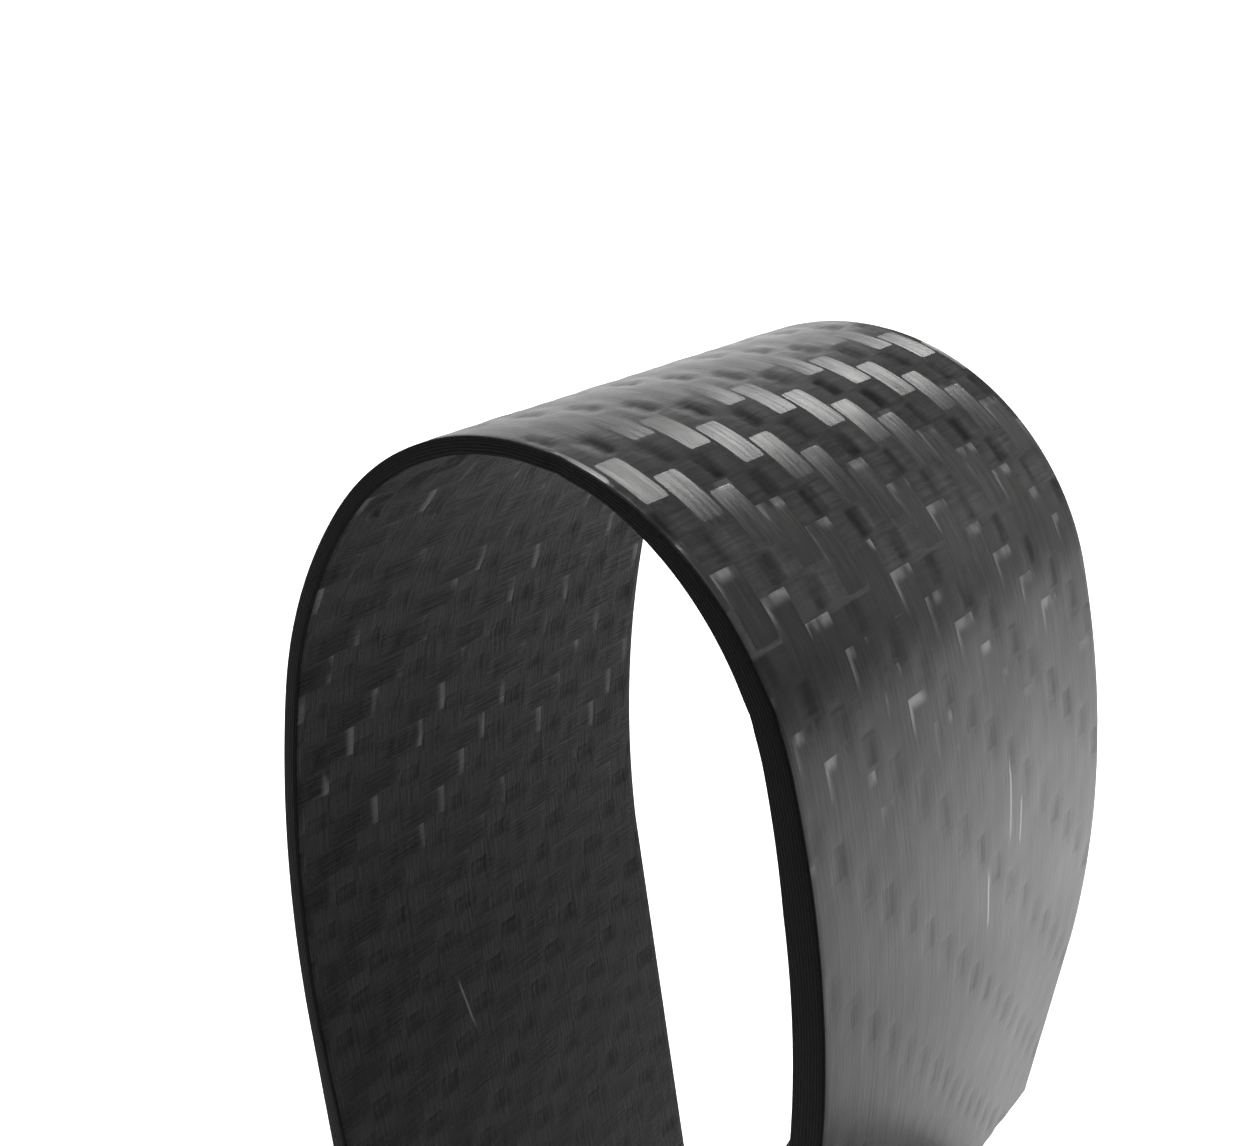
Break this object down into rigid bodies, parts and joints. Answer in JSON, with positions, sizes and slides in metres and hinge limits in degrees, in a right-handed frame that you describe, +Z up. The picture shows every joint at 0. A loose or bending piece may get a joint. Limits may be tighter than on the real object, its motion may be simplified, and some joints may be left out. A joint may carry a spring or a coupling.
{
  "type": "transtibial prosthetic leg",
  "caption": "Below-knee prosthetic leg: hairpin-loop carbon blade foot, hanger bracket, shock and torsion pylon, pin lock and lined socket.",
  "frame": {"origin": "on the ground under the pylon's axis, at the centre of the footprint box", "axes": "+X forward to the toe, +Y left, +Z up the pylon"},
  "size_m": [0.2856, 0.128, 0.529],
  "materials": {
    "carbon": "satin twill carbon laminate",
    "carbon_socket": "satin carbon laminate",
    "foam": "closed-cell foam",
    "rubber": "ribbed black rubber",
    "aluminium": "bead-blasted anodised",
    "black_anodised": "black anodised",
    "steel": "plain steel",
    "black_steel": "black oxide steel",
    "titanium": "turned titanium",
    "spring_steel": "bright spring wire",
    "brass": "machined",
    "bronze": "sintered bronze",
    "black_plastic": "acetal",
    "elastomer": "cast polyurethane",
    "button_red": "red anodised",
    "liner": "closed-cell foam liner"
  },
  "bodies": {
    "foot": {"blade": "carbon", "heel_leaf": "carbon", "heel_wedge": "foam", "heel_tread": "rubber", "toe_tread": "rubber", "keel_plate": "aluminium", "keel_bolts": "steel", "keel_nuts": "steel", "hanger_bracket": "aluminium", "bracket_screws": "black_steel", "limb_inserts": "brass", "pyramid_lower": "titanium", "pyramid_lower_screws": "black_steel", "tube_clamp": "aluminium", "clamp_set_screws": "black_steel", "clamp_bolt": "black_steel", "inner_tube": "titanium", "spring_seat": "black_plastic", "shock_spring": "spring_steel"},
    "shock": {"outer_sleeve": "black_anodised", "sleeve_bushing": "bronze", "wiper_ring": "rubber", "torsion_spindle": "steel", "spindle_nut": "steel"},
    "upper": {"torsion_elastomer": "elastomer", "torsion_housing": "aluminium", "pyramid_receiver": "aluminium", "receiver_set_screws": "black_steel", "pyramid_upper": "titanium", "pyramid_upper_screws": "black_steel", "lock_body": "black_anodised", "lock_axle": "steel", "lock_spring": "spring_steel", "pin_guide": "aluminium", "socket_screws": "steel", "socket_shell": "carbon_socket", "inner_liner": "liner"},
    "gear": {"lock_gear": "bronze"},
    "button": {"lock_button": "button_red", "button_clip": "spring_steel"}
  },
  "joints": [
    {"name": "shock_slide", "type": "slide", "parent": "foot", "child": "shock", "axis": [0, 0, 1], "range_m": [-0.008, 0], "stiffness_N_per_m": 70000, "springref_m": 0.002, "deforming": ["shock_spring"]},
    {"name": "torsion", "type": "hinge", "parent": "shock", "child": "upper", "pos_m": [0, 0, 0.2484], "axis": [0, 0, 1], "range_deg": [-12, 12], "stiffness_Nm_per_rad": 30},
    {"name": "lock_button_press", "type": "slide", "parent": "upper", "child": "button", "axis": [0, 1, 0], "range_m": [0, 0.004], "stiffness_N_per_m": 1500, "springref_m": -0.001, "deforming": ["lock_spring"]},
    {"name": "lock_gear_spin", "type": "hinge", "parent": "upper", "child": "gear", "pos_m": [0.0135, 0, 0.3135], "axis": [0, 1, 0], "continuous": true}
  ]
}
